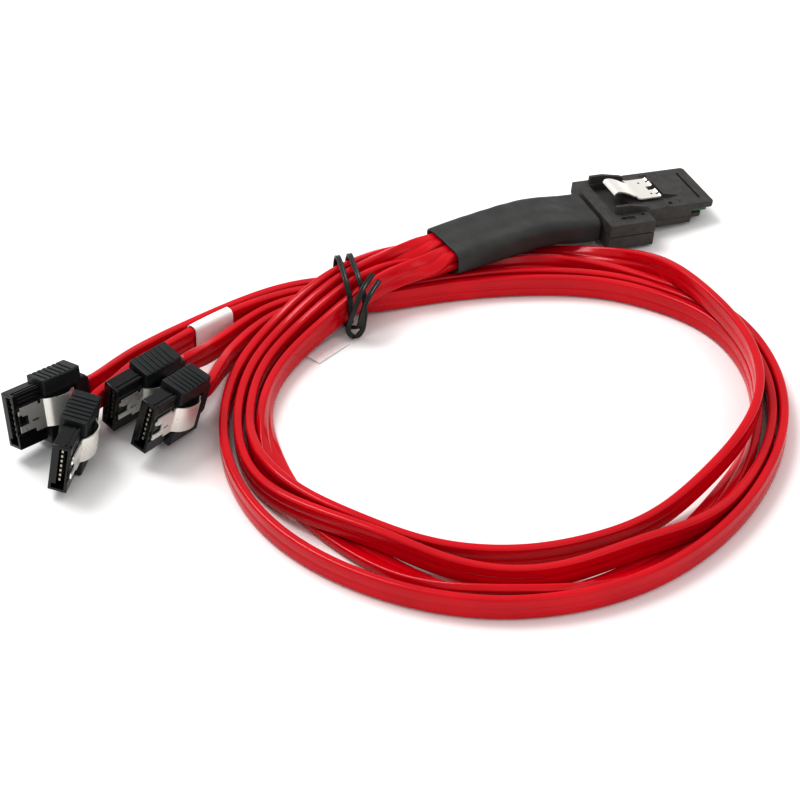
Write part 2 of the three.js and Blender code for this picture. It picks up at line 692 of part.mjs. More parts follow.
const cablePaths = ROUTES.map((rows, i) => {
  const spot = CONNECTORS.find(({ name }) => name === ROUTE_ENDS[i]);
  const matrix = connectorMatrix(spot);
  const back = BOOT_END + COLLAR.length + GAP;
  const ends = [2.2, 0].map((extra) => {
    const p = new THREE.Vector3(back + extra, 0, 0).applyMatrix4(matrix);
    return [p.x, p.y, p.z, -spot.lean];
  });
  return new FlatPath([...rows, ...ends]);
});

cablePaths.forEach((path, i) => {
  place(`cable_${i + 1}`, sweep(path, cableShape, 78), material(0xd2142a, 0.45, 0));
});

// Labels

// A stretch of a cable's path, for a label wrapped round that cable
class PathSlice {
  constructor(path, from, to) {
    Object.assign(this, { path, from, to });
  }

  at(i, steps) {
    return this.from + (this.to - this.from) * (i / steps);
  }

  getSpacedPoints(steps) {
    return Array.from({ length: steps + 1 }, (_, i) => this.path.getPointAt(this.at(i, steps)));
  }

  computeFrenetFrames(steps) {
    const sections = Array.from({ length: steps + 1 }, (_, i) => this.path.sectionAt(this.at(i, steps)));
    return {
      tangents: sections.map((section) => section.t),
      normals: sections.map((section) => section.w),
      binormals: sections.map((section) => section.n),
    };
  }
}

function frameShape(width, thick, wall) {
  const shape = outline(rectangle(-width / 2, width / 2, -thick / 2, thick / 2));
  shape.holes.push(new THREE.Path(
    rectangle(-width / 2 + wall, width / 2 - wall, -thick / 2 + wall, thick / 2 - wall)
      .map(([x, y]) => new THREE.Vector2(x, y)),
  ));
  return shape;
}

const labelSlice = new PathSlice(cablePaths[WRAP_LABEL.route], WRAP_LABEL.from, WRAP_LABEL.to);
place(
  'cable_label_1',
  sweep(labelSlice, frameShape(WRAP_LABEL.width, WRAP_LABEL.thick, WRAP_LABEL.wall), 4),
  material(0xe6e2df, 0.6, 0),
);

const flatLabelMatrix = new THREE.Matrix4().makeTranslation(FLAT_LABEL.x, FLAT_LABEL.y, 0.02);
flatLabelMatrix.multiply(new THREE.Matrix4().makeRotationZ(THREE.MathUtils.degToRad(FLAT_LABEL.heading)));
const flatLabel = flatPlate(
  rectangle(-FLAT_LABEL.length / 2, FLAT_LABEL.length / 2, -FLAT_LABEL.width / 2, FLAT_LABEL.width / 2),
  0, FLAT_LABEL.thick, 0,
);
place('cable_label_2', toGeometry(flatLabel), material(0xe6e2df, 0.6, 0), flatLabelMatrix);

// Twist tie

function tiePoint(across, z, along) {
  return new THREE.Vector3(
    TIE.x + TIE.acrossX * across - TIE.acrossY * along,
    TIE.y + TIE.acrossY * across + TIE.acrossX * along,
    z,
  );
}

function ribbon(points, steps, a, b) {
  const extrudePath = new THREE.CatmullRomCurve3(points);
  const shape = outline(rectangle(-a / 2, a / 2, -b / 2, b / 2));
  return toSolid(new THREE.ExtrudeGeometry(shape, { steps, extrudePath, bevelEnabled: false }));
}

function tieWrap(along, lean) {
  const rows = [...TIE_WRAP, ...TIE_WRAP.slice(0, 2)];
  const points = rows.map(([across, z]) => tiePoint(across, z, along + lean * across));
  return ribbon(points, 40, TIE.thick, TIE.wide);
}

const twist = ribbon(TIE_TWIST.map(([across, z]) => tiePoint(across, z, 0)), 6, TIE.twistWide, TIE.twistThick);
const tails = TIE_TAILS.map((rows) => {
  const points = rows.map(([x, y, z]) => new THREE.Vector3(x, y, z));
  return ribbon(points, 14, TIE.tailWide, TIE.thick);
});
const tie = join(tieWrap(TIE.spacing / 2, 0.04), tieWrap(-TIE.spacing / 2, -0.04), twist, ...tails);
place('twist_tie', toGeometry(tie), material(0x1b1b1b, 0.5, 0));

export default group;
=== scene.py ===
"""Mini SAS breakout cable: its finished look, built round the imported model. Metres, +Z up."""

import json
import math

import bmesh
import bpy
from mathutils import Matrix, Vector


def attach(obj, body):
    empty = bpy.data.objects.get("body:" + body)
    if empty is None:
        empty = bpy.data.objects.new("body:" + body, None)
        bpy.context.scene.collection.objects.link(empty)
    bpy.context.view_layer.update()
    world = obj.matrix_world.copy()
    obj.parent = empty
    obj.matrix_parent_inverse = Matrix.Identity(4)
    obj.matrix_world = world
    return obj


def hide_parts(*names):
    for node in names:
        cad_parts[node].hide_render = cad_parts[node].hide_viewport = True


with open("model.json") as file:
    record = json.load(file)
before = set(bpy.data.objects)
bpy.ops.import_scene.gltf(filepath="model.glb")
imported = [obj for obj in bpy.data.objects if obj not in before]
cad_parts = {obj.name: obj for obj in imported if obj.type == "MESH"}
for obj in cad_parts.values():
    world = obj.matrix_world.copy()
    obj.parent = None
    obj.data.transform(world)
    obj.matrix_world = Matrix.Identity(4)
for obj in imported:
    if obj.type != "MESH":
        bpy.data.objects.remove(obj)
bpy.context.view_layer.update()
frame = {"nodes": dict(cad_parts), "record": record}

# Where the layout's origin, which the camera looks at, lies in the part's frame
ORIGIN = Vector((0.0034, -0.0267, 0.0))

CAMERA_ELEVATION = math.radians(38)
CAMERA_DISTANCE = 0.467
CAMERA_LENS = 96.75
CAMERA_SENSOR = 36
FLOOR = {"half": 4.0, "drop": 0.0002, "color": (0.93, 0.925, 0.92), "roughness": 0.9}
WORLD_STRENGTH = 0.85
LAMPS = {
    "key": {"place": (-0.45, 0.35, 0.95), "size": (0.55, 0.55), "watts": 8.0},
    "fill": {"place": (0.7, -0.9, 0.9), "size": (0.9, 0.6), "watts": 2.0},
}
PICTURE_GAMMA = 0.78

# The loop's centre in the layout, and the flat cable's section
LOOP = (0.022, -0.008)
CABLE = {
    "width": 0.0052, "thick": 0.00195, "corner": 0.0006,
    "groove_depth": 0.00022, "groove_spread": 0.0004, "step": 0.0012,
}
# How the cables' short waves are evened out, away from the sleeve and the connectors
SMOOTHING = {"spread": 0.007, "keep_start": 0.045, "keep_end": 0.02, "blend": 0.02}
CURVE_STEPS = 24

# The sleeve's section, its narrowing at both ends, and its folds and humps
SLEEVE = {"width": 0.0148, "height": 0.0062, "wall": 0.0005, "corner": 0.0019, "step": 0.0004}
SLEEVE_PINCH = {"cable_end": 0.035, "power": 8, "plug_end": 0.02, "middle": 0.02, "spread": 0.03}
SLEEVE_FOLDS = {"depth": 0.00011, "along": 46, "across": 900, "middle": 0.55, "spread": 0.22}
SLEEVE_HUMPS = 0.0001
SLEEVE_MOUTH = {"narrowing": 0.965, "stations": 20}

# The tie's section, and the direction across the bundle that its wide side keeps to
TIE = {
    "wide": 0.0012, "thick": 0.00065, "corner": 0.00026,
    "groove_depth": 0.00014, "groove_spread": 0.00018, "step": 0.0004,
}
TIE_ACROSS = Vector((-0.96, -0.27, 0.0))

# The wrapped label's section, and the shares of its cable's length where it starts and ends
WRAP_LABEL = {"width": 0.0061, "thick": 0.0029, "corner": 0.0011, "film": 0.0002, "span": (0.907, 0.928)}

# Disk connectors, in each one's own frame: +X from rim to cable, -Y the latch face, +Z the tall side
SHROUD = {"length": 0.007, "thick": 0.004, "height": 0.0123}
BOOT = {"start": 0.0073, "end": 0.017, "thick": 0.006, "height": 0.0144}
COLLAR_LENGTH = 0.0024
GAP = 0.0003
STRAIGHT_RUN = 0.0022
CONNECTORS = [
    {"x": -0.0807, "y": -0.0194, "heading": 45, "lean": -13, "lift": 6},
    {"x": -0.0692, "y": -0.0327, "heading": 79, "lean": 11, "lift": 0},
    {"x": -0.0612, "y": -0.0122, "heading": 46, "lean": 12, "lift": 0},
    {"x": -0.0529, "y": -0.0222, "heading": 57, "lean": 13, "lift": 9},
]
# The connector, counted from 0, that each route ends at
ROUTE_CONNECTOR = [1, 2, 0, 3]

# The plug, and how far its lower shell is pressed up to close the parting line
PLUG = {"x": 0.0452, "y": 0.0655, "heading": 22, "dip": 5.5, "block": 0.012, "closing": 0.00026}

# Rounds on the mouldings' edges, and the stamped latches, in millimetres in their own frames.
# A profile is (along, height) points, a hole is (from, to) along and (from, to) across.
MM = 0.001
CONNECTOR_ROUND = 0.12
PLUG_ROUND = 0.16
MERGE_DISTANCE = 0.002
DISK_LATCH = {
    "sheet": 0.3,
    "across": (-3.1, 3.1),
    "plate": [(0.6, -2.5), (2.0, -2.5), (4.6, -2.5), (6.2, -2.5)],
    "strap": [(7.0, -2.5), (8.5, -3.75), (10.6, -4.5), (12.7, -4.4), (14.1, -3.3), (14.7, -3.1)],
    "strap_steps": 6,
    "holes": [
        (0.5, 2.9, -0.9, 1.2), (0.5, 1.5, 1.2, 1.6), (0.5, 4.4, -3.2, -2.3),
        (3.7, 5.4, -0.75, -0.35), (0.5, 1.1, 2.5, 3.2), (5.6, 6.4, 2.5, 3.2),
    ],
}
PLUG_LATCH = {
    "sheet": 0.35,
    "across": (-1.9, 6.6),
    "tab": [(5.3, 9.1), (5.65, 9.7), (6.4, 9.85), (8.4, 9.25), (10.3, 8.3), (12.3, 7.5)],
    "tab_steps": 5,
    "plate": [(14.0, 7.5), (17.0, 7.5), (17.5, 7.62), (17.85, 7.95)],
    "holes": [
        (15.9, 18.0, 1.4, 3.0), (16.9, 18.0, -0.9, -0.3), (16.9, 18.0, 4.8, 5.4),
        (5.0, 11.4, -2.0, -1.3), (5.0, 11.4, 5.1, 6.7), (14.7, 15.2, 4.6, 5.2), (15.6, 16.1, -0.6, 0.0),
    ],
}
# (x, y, half length, half width) of each blind hole, and (x, y) of each half ring, on the plug's roof, where
# flat near-black patches paint the shade in these recesses
PLUG_HOLES = [(17.9, 8.9, 0.75, 0.55), (17.7, -5.7, 0.75, 0.55), (10.1, -7.3, 0.5, 0.4), (4.8, -8.0, 0.9, 0.4)]
PLUG_RINGS = [(21.3, 8.5), (21.0, -4.0)]
RING = {"radius": 1.0, "line": 0.22, "first_angle": -60}
MARK_HEIGHT = 7.02
MARK_TURN = 15
# (x from, x to, y from, y to, z from, z to) of the rails on a disk connector's housing
HOUSING_RAILS = [(0.7, 6.9, -1.86, -1.5, 6.0, 6.4), (0.7, 6.9, -0.85, -0.5, 6.0, 6.35)]


# Cable routes, from plug to connector. Each row is (x, y, z, lean): metres in the layout, and the
# angle in degrees by which the top edge of the flat section tips to the right of travel.
# Rows given to around() are (angle, radius, z, lean) about the loop's centre instead.

def around(rows):
    points = []
    for degrees, radius, z, lean in rows:
        angle = math.radians(degrees)
        points.append((LOOP[0] + radius * math.cos(angle), LOOP[1] + radius * math.sin(angle), z, lean))
    return points


ROUTES = [
    # outermost on the left, the bottom and the right
    [
        (0.0436, 0.0681, 0.0035, 90),
        (0.0408, 0.0669, 0.0038, 90),
        (0.0303, 0.0611, 0.0064, 90),
        (0.0172, 0.0526, 0.0074, 90),
        (0.0084, 0.0474, 0.0074, 90),
        (0.0008, 0.0446, 0.0075, 50),
        (-0.0058, 0.0415, 0.0082, 15),
        (-0.0133, 0.0346, 0.0095, 5),
        (-0.0189, 0.0302, 0.009, 5),
        (-0.0242, 0.0256, 0.0052, 5),
        *around([
            (150, 0.0582, 0.0036, 3),
            (158, 0.0591, 0.0028, 0),
            (168, 0.0595, 0.00265, 0),
            (180, 0.0596, 0.00265, 0),
            (192, 0.0603, 0.00265, 0),
            (204, 0.0606, 0.00265, 0),
            (216, 0.061, 0.00265, 0),
            (228, 0.0608, 0.00265, 0),
            (240, 0.0605, 0.00265, 0),
            (252, 0.0605, 0.00265, 0),
            (264, 0.0605, 0.00265, 0),
            (276, 0.06, 0.00265, 0),
            (288, 0.0593, 0.00265, 0),
            (300, 0.0586, 0.00265, 0),
            (312, 0.0576, 0.00265, 0),
            (324, 0.0574, 0.00265, 0),
            (336, 0.0576, 0.00265, 0),
            (348, 0.0588, 0.00265, 0),
            (0, 0.0603, 0.00265, 0),
            (12, 0.0616, 0.00265, 0),
            (24, 0.0627, 0.00265, 0),
            (36, 0.0633, 0.00265, 0),
            (48, 0.0606, 0.00265, 0),
            (60, 0.0593, 0.00265, 0),
            (72, 0.0587, 0.00265, 10),
            (84, 0.0569, 0.00235, 50),
            (96, 0.0534, 0.00265, 15),
            (108, 0.052, 0.00265, 0),
            (119, 0.0529, 0.00265, 0),
        ]),
        (-0.012, 0.0352, 0.0038, 0),
        (-0.02, 0.036, 0.0032, 0),
        (-0.0286, 0.0332, 0.00265, 0),
        (-0.0375, 0.0262, 0.0035, 0),
        (-0.0444, 0.0202, 0.0036, 0),
        (-0.0515, 0.012, 0.004, 0),
        (-0.057, 0.0036, 0.0058, 0),
        (-0.0612, -0.005, 0.0073, -8),
    ],
    # second on the left and on the right
    [
        (0.0436, 0.0681, 0.0058, 90),
        (0.0408, 0.0669, 0.0061, 90),
        (0.0303, 0.0611, 0.0087, 90),
        (0.0172, 0.0526, 0.0097, 90),
        (0.0084, 0.0474, 0.0097, 90),
        (0.002, 0.0431, 0.0094, 50),
        (-0.0042, 0.0398, 0.0086, 15),
        (-0.0116, 0.0328, 0.0095, 5),
        (-0.017, 0.0285, 0.0088, 5),
        (-0.0223, 0.024, 0.005, 5),
        *around([
            (150, 0.0556, 0.0034, 0),
            (158, 0.0566, 0.0028, 0),
            (168, 0.0567, 0.00265, 0),
            (180, 0.0568, 0.00265, 0),
            (192, 0.0571, 0.00265, 0),
            (202, 0.0571, 0.0027, 0),
            (210, 0.0564, 0.0036, 0),
            (218, 0.0546, 0.0049, 0),
            (228, 0.0516, 0.00495, 0),
            (240, 0.0496, 0.0049, 0),
            (252, 0.0506, 0.0034, -4),
            (264, 0.0518, 0.00265, -6),
            (276, 0.0522, 0.00265, -6),
            (288, 0.0514, 0.0034, -4),
            (300, 0.0512, 0.0049, 0),
            (312, 0.0544, 0.0049, 0),
            (324, 0.0549, 0.0034, 0),
            (336, 0.0552, 0.00265, 0),
            (348, 0.0564, 0.00265, 0),
            (0, 0.0578, 0.00265, 0),
            (12, 0.0592, 0.00265, 0),
            (24, 0.0603, 0.00265, 0),
            (36, 0.061, 0.00265, 0),
            (48, 0.0582, 0.00265, 0),
            (60, 0.0566, 0.00265, 0),
            (72, 0.0533, 0.00265, 0),
            (84, 0.0513, 0.00265, 10),
            (96, 0.0496, 0.00265, 5),
            (108, 0.0496, 0.00265, 0),
            (119, 0.0504, 0.00265, 0),
        ]),
        (-0.012, 0.0328, 0.0038, 0),
        (-0.02, 0.0336, 0.0032, 0),
        (-0.0286, 0.03, 0.00265, 0),
        (-0.0358, 0.022, 0.00265, 0),
        (-0.0414, 0.013, 0.004, 0),
        (-0.044, 0.007, 0.0064, -8),
    ],
    # third on the left, then innermost, then over the others to the outermost at the top
    [
        (0.046, 0.0625, 0.0035, 90),
        (0.043, 0.0613, 0.0038, 90),
        (0.0335, 0.0557, 0.0064, 90),
        (0.0202, 0.0476, 0.0074, 90),
        (0.0114, 0.0424, 0.0074, 90),
        (0.0049, 0.0392, 0.0074, 50),
        (-0.0021, 0.0374, 0.0082, 15),
        (-0.01, 0.031, 0.0095, 5),
        (-0.0152, 0.0268, 0.0073, 5),
        (-0.0204, 0.0224, 0.0046, 3),
        *around([
            (150, 0.053, 0.0032, 0),
            (158, 0.0542, 0.00275, 0),
            (168, 0.0542, 0.00265, 0),
            (180, 0.0542, 0.00265, 0),
            (190, 0.0545, 0.0032, 0),
            (200, 0.0546, 0.00495, 0),
            (216, 0.0522, 0.00495, 0),
            (228, 0.0492, 0.00495, 0),
            (240, 0.047, 0.0032, 0),
            (252, 0.0466, 0.00265, 0),
            (264, 0.046, 0.00265, 0),
            (276, 0.0458, 0.00265, 0),
            (288, 0.0451, 0.00265, 0),
            (300, 0.0454, 0.00265, 0),
            (312, 0.046, 0.0028, 0),
            (324, 0.0466, 0.0046, 0),
            (336, 0.0493, 0.007, 0),
            (348, 0.0522, 0.0082, 0),
            (0, 0.0546, 0.00825, 0),
            (12, 0.0564, 0.00825, 0),
            (24, 0.0575, 0.00825, 0),
            (36, 0.0586, 0.00825, 0),
            (46, 0.0606, 0.0082, 0),
            (52, 0.0626, 0.0073, 0),
            (58, 0.0642, 0.0048, 5),
            (65, 0.065, 0.0026, 40),
            (72, 0.0642, 0.0015, 78),
            (80, 0.0642, 0.00115, 88),
            (90, 0.0614, 0.0013, 80),
            (99, 0.0582, 0.0021, 55),
            (109, 0.0552, 0.0027, 15),
            (119, 0.0554, 0.00265, 0),
        ]),
        (-0.012, 0.0376, 0.0038, 0),
        (-0.02, 0.0384, 0.0032, 0),
        (-0.0286, 0.036, 0.00265, 0),
        (-0.0382, 0.0293, 0.00265, 0),
        (-0.0462, 0.0228, 0.0028, 0),
        (-0.0536, 0.0146, 0.004, 0),
        (-0.0592, 0.006, 0.0058, 5),
    ],
    # innermost on the left, then under two others to run beside the outermost, then back inside
    [
        (0.046, 0.0625, 0.0058, 90),
        (0.043, 0.0613, 0.0061, 90),
        (0.0335, 0.0557, 0.0087, 90),
        (0.0202, 0.0476, 0.0097, 90),
        (0.0114, 0.0424, 0.0097, 90),
        (0.0062, 0.0377, 0.0094, 50),
        (-0.0002, 0.0351, 0.0086, 15),
        (-0.0083, 0.0292, 0.0084, 5),
        (-0.0132, 0.0252, 0.0052, 5),
        (-0.018, 0.0204, 0.0036, 2),
        *around([
            (150, 0.0496, 0.0034, 0),
            (158, 0.0504, 0.00265, 0),
            (168, 0.0512, 0.00265, 0),
            (180, 0.0514, 0.00265, 10),
            (191, 0.0509, 0.00195, 55),
            (201, 0.051, 0.00115, 85),
            (216, 0.0513, 0.00105, 90),
            (228, 0.0514, 0.00105, 90),
            (240, 0.0526, 0.0011, 88),
            (252, 0.0552, 0.00175, 60),
            (264, 0.0562, 0.0026, 20),
            (276, 0.0562, 0.0026, 20),
            (288, 0.0554, 0.00175, 60),
            (300, 0.054, 0.0011, 88),
            (312, 0.0522, 0.00105, 90),
            (324, 0.0509, 0.0011, 88),
            (336, 0.0516, 0.00175, 60),
            (348, 0.0528, 0.0025, 25),
            (0, 0.0544, 0.00265, 0),
            (12, 0.0564, 0.00265, 0),
            (24, 0.0579, 0.00265, 0),
            (36, 0.0586, 0.00265, 0),
            (48, 0.0558, 0.00265, 0),
            (60, 0.0539, 0.00265, 0),
            (72, 0.0505, 0.00265, 0),
            (84, 0.0482, 0.00265, 0),
            (96, 0.0469, 0.00265, 0),
            (108, 0.0472, 0.00265, 0),
            (119, 0.0479, 0.00265, 0),
        ]),
        (-0.012, 0.0304, 0.0038, 0),
        (-0.02, 0.0311, 0.0032, 0),
        (-0.0272, 0.0274, 0.00265, 0),
        (-0.033, 0.02, 0.00265, 0),
        (-0.0372, 0.011, 0.0036, 0),
        (-0.039, 0.0035, 0.0056, -8),
    ],
]

# The sleeve's centre line, rows as in a route
SLEEVE_PATH = [
    (0.0448, 0.0653, 0.0047, 0),
    (0.0419, 0.0641, 0.005, 0),
    (0.0319, 0.0584, 0.0076, 0),
    (0.0187, 0.0501, 0.0086, 0),
    (0.0099, 0.0449, 0.0086, 0),
]
# The tie is one strand: a tail, down to the eye in front, two turns round the bundle, the other tail
TIE_PATH = [
    (-0.0061, 0.0292, 0.0131), (-0.0084, 0.0247, 0.0118), (-0.01, 0.0222, 0.0086), (-0.0112, 0.0221, 0.0052),
    (-0.0115, 0.0224, 0.0017), (-0.0101, 0.0223, 0.0006), (-0.0086, 0.0228, 0.0019), (-0.008, 0.0235, 0.0047),
    (-0.0078, 0.0244, 0.0081), (-0.0083, 0.0257, 0.0107), (-0.0092, 0.0279, 0.0126), (-0.0104, 0.0325, 0.0132),
    (-0.0114, 0.0368, 0.0131), (-0.0118, 0.0388, 0.0112), (-0.0123, 0.0402, 0.0058), (-0.0124, 0.0404, 0.0019),
    (-0.0119, 0.0388, 0.0004), (-0.0114, 0.034, 0.0004), (-0.0112, 0.0295, 0.0005), (-0.0111, 0.0262, 0.0018),
    (-0.0111, 0.0248, 0.006), (-0.0113, 0.0249, 0.0102), (-0.012, 0.0268, 0.0122), (-0.0131, 0.0317, 0.0132),
    (-0.0141, 0.036, 0.0131), (-0.0145, 0.0381, 0.0112), (-0.0149, 0.0394, 0.0058), (-0.0148, 0.0396, 0.0019),
    (-0.0141, 0.038, 0.0004), (-0.0134, 0.033, 0.0004), (-0.0127, 0.0285, 0.0005), (-0.0118, 0.0252, 0.0016),
    (-0.0108, 0.0236, 0.0024), (-0.0094, 0.0229, 0.0029), (-0.0085, 0.0226, 0.0066), (-0.0072, 0.0236, 0.0102),
    (-0.0047, 0.0276, 0.0124),
]


# Camera, floor and light

def make_camera():
    data = bpy.data.cameras.new("camera")
    data.lens = CAMERA_LENS
    data.sensor_width = CAMERA_SENSOR
    camera = bpy.data.objects.new("camera", data)
    bpy.context.collection.objects.link(camera)
    back = Vector((0, -math.cos(CAMERA_ELEVATION), math.sin(CAMERA_ELEVATION)))
    camera.location = ORIGIN + CAMERA_DISTANCE * back
    camera.rotation_euler = (-back).to_track_quat("-Z", "Y").to_euler()
    bpy.context.scene.camera = camera


def area_light(name, place, size, watts):
    """A rectangular lamp that faces the part frame's origin."""
    data = bpy.data.lights.new(name, "AREA")
    data.shape = "RECTANGLE"
    data.size, data.size_y = size
    data.energy = watts
    light = bpy.data.objects.new(name, data)
    bpy.context.collection.objects.link(light)
    light.location = place
    light.rotation_euler = (-Vector(place)).to_track_quat("-Z", "Y").to_euler()


def make_stage():
    half = FLOOR["half"]
    corners = [(-half, -half, 0), (half, -half, 0), (half, half, 0), (-half, half, 0)]
    mesh = bpy.data.meshes.new("floor")
    mesh.from_pydata(corners, [], [(0, 1, 2, 3)])
    floor = bpy.data.objects.new("floor", mesh)
    floor.location.z = -FLOOR["drop"]
    bpy.context.collection.objects.link(floor)
    floor.data.materials.append(plain_material("floor_paper", FLOOR["color"], FLOOR["roughness"]))
    world = bpy.data.worlds.new("studio")
    world.use_nodes = True
    background = world.node_tree.nodes["Background"]
    background.inputs["Color"].default_value = (1.0, 1.0, 1.0, 1)
    background.inputs["Strength"].default_value = WORLD_STRENGTH
    bpy.context.scene.world = world
    for name, lamp in LAMPS.items():
        area_light(name, **lamp)
    bpy.context.scene.view_settings.view_transform = "Standard"
    bpy.context.scene.view_settings.gamma = PICTURE_GAMMA


# Materials

def plain_material(name, color, roughness, metallic=0.0, specular=0.5):
    material = bpy.data.materials.new(name)
    material.use_nodes = True
    shader = material.node_tree.nodes["Principled BSDF"]
    shader.inputs["Base Color"].default_value = (*color, 1)
    shader.inputs["Roughness"].default_value = roughness
    shader.inputs["Metallic"].default_value = metallic
    shader.inputs["Specular IOR Level"].default_value = specular
    return material


class Look:
    """Adds colour, roughness and bump detail from noise to a material's shader."""

    def __init__(self, name, color, roughness, metallic=0.0, specular=0.5):
        self.material = plain_material(name, color, roughness, metallic, specular)
        self.color = color
        self.roughness = roughness
        self.tree = self.material.node_tree
        self.shader = self.tree.nodes["Principled BSDF"]
        self.normal = None
        self.place = self.tree.nodes.new("ShaderNodeTexCoord").outputs["Object"]

    def link(self, output, socket):
        self.tree.links.new(output, socket)

    def noise(self, scale, detail):
        node = self.tree.nodes.new("ShaderNodeTexNoise")
        node.inputs["Scale"].default_value = scale
        node.inputs["Detail"].default_value = detail
        self.link(self.place, node.inputs["Vector"])
        return node.outputs["Fac"]

    def ramp(self, value, low, high):
        """Spreads the middle of a noise over the span from low to high."""
        node = self.tree.nodes.new("ShaderNodeValToRGB")
        for stop, position, color in zip(node.color_ramp.elements, (0.35, 0.65), (low, high)):
            stop.position = position
            stop.color = (*color, 1)
        self.link(value, node.inputs["Fac"])
        return node.outputs["Color"]

    def mottle(self, scale, amount, detail=3.0):
        """Colour that varies by a share of itself, as moulded or dusty surfaces do."""
        low = tuple(c * (1 - amount) for c in self.color)
        high = tuple(min(1.0, c * (1 + amount)) for c in self.color)
        self.link(self.ramp(self.noise(scale, detail), low, high), self.shader.inputs["Base Color"])
        return self

    def worn(self, scale, spread, detail=4.0):
        """Roughness that varies over the surface."""
        low = (self.roughness - spread,) * 3
        high = (self.roughness + spread,) * 3
        self.link(self.ramp(self.noise(scale, detail), low, high), self.shader.inputs["Roughness"])
        return self

    def bump(self, scale, strength, depth, detail=3.0):
        node = self.tree.nodes.new("ShaderNodeBump")
        node.inputs["Strength"].default_value = strength
        node.inputs["Distance"].default_value = depth
        self.link(self.noise(scale, detail), node.inputs["Height"])
        if self.normal:
            self.link(self.normal, node.inputs["Normal"])
        self.normal = node.outputs["Normal"]
        self.link(self.normal, self.shader.inputs["Normal"])
        return self


def make_looks():
    """The material of each slot."""
    red = Look("red_insulation", (0.56, 0.0, 0.011), 0.2, specular=0.35)
    red.mottle(60, 0.08).worn(160, 0.05).bump(900, 0.08, 0.00005).bump(90, 0.08, 0.0002)
    sleeve = Look("shrink_film", (0.052, 0.052, 0.051), 0.5, specular=0.3)
    sleeve.mottle(220, 0.12).worn(300, 0.08).bump(420, 0.25, 0.00012).bump(2600, 0.2, 0.00003)
    plug = Look("plug_plastic", (0.066, 0.062, 0.058), 0.55, specular=0.3)
    plug.mottle(500, 0.14, 5).worn(400, 0.06).bump(5200, 0.45, 0.00003, 5).bump(300, 0.05, 0.0001)
    black = Look("connector_plastic", (0.006, 0.0063, 0.007), 0.22, specular=0.5)
    black.mottle(700, 0.15).worn(600, 0.05).bump(900, 0.05, 0.00003)
    boot = Look("boot_plastic", (0.015, 0.0165, 0.0175), 0.4, specular=0.4)
    boot.mottle(600, 0.15).worn(500, 0.08).bump(4200, 0.4, 0.00003, 5)
    steel = Look("stamped_steel", (0.88, 0.86, 0.81), 0.3, metallic=0.7)
    steel.worn(300, 0.03)
    gold = Look("contact_gold", (0.50, 0.46, 0.38), 0.35, metallic=0.8)
    gold.worn(1500, 0.08)
    board = Look("circuit_board", (0.045, 0.13, 0.055), 0.42)
    board.mottle(900, 0.2).bump(3000, 0.2, 0.00002)
    label = Look("label_vinyl", (0.86, 0.84, 0.83), 0.5, specular=0.3)
    label.mottle(500, 0.03).worn(400, 0.08)
    tie = Look("tie_coating", (0.010, 0.011, 0.011), 0.34)
    tie.mottle(800, 0.2).worn(600, 0.08).bump(2200, 0.2, 0.00003)
    return {
        "cable_jacket": red.material, "sleeve_film": sleeve.material, "plug_shell": plug.material,
        "connector_black": black.material, "boot_black": boot.material, "spring_steel": steel.material,
        "contact_gold": gold.material, "card_board": board.material, "label_film": label.material,
        "tie_coating": tie.material,
    }


# Curves, and paths that carry a flat section

def eased(share):
    """A share from 0 to 1 that starts and ends gently."""
    return share * share * (3 - 2 * share)


def catmull(before, start, end, after, steps):
    """Points of the centripetal Catmull-Rom segment from start to end, end left out."""
    least = 1e-9
    first = max((start - before).length ** 0.5, least)
    middle = max((end - start).length ** 0.5, least)
    last = max((after - end).length ** 0.5, least)
    leave = ((start - before) / first - (end - before) / (first + middle) + (end - start) / middle) * middle
    arrive = ((end - start) / middle - (after - start) / (middle + last) + (after - end) / last) * middle
    points = []
    for k in range(steps):
        t = k / steps
        square, cube = t * t, t * t * t
        near = (2 * cube - 3 * square + 1) * start + (cube - 2 * square + t) * leave
        points.append(near + (3 * square - 2 * cube) * end + (cube - square) * arrive)
    return points


def smooth_curve(places, steps):
    """Points of a centripetal curve through the places, with so many steps from each to the next."""
    points = []
    last = len(places) - 1
    for i in range(last):
        before = places[i - 1] if i else 2 * places[0] - places[1]
        after = places[i + 2] if i + 2 <= last else 2 * places[last] - places[last - 1]
        points += catmull(before, places[i], places[i + 1], after, steps)
    points.append(places[last])
    return points


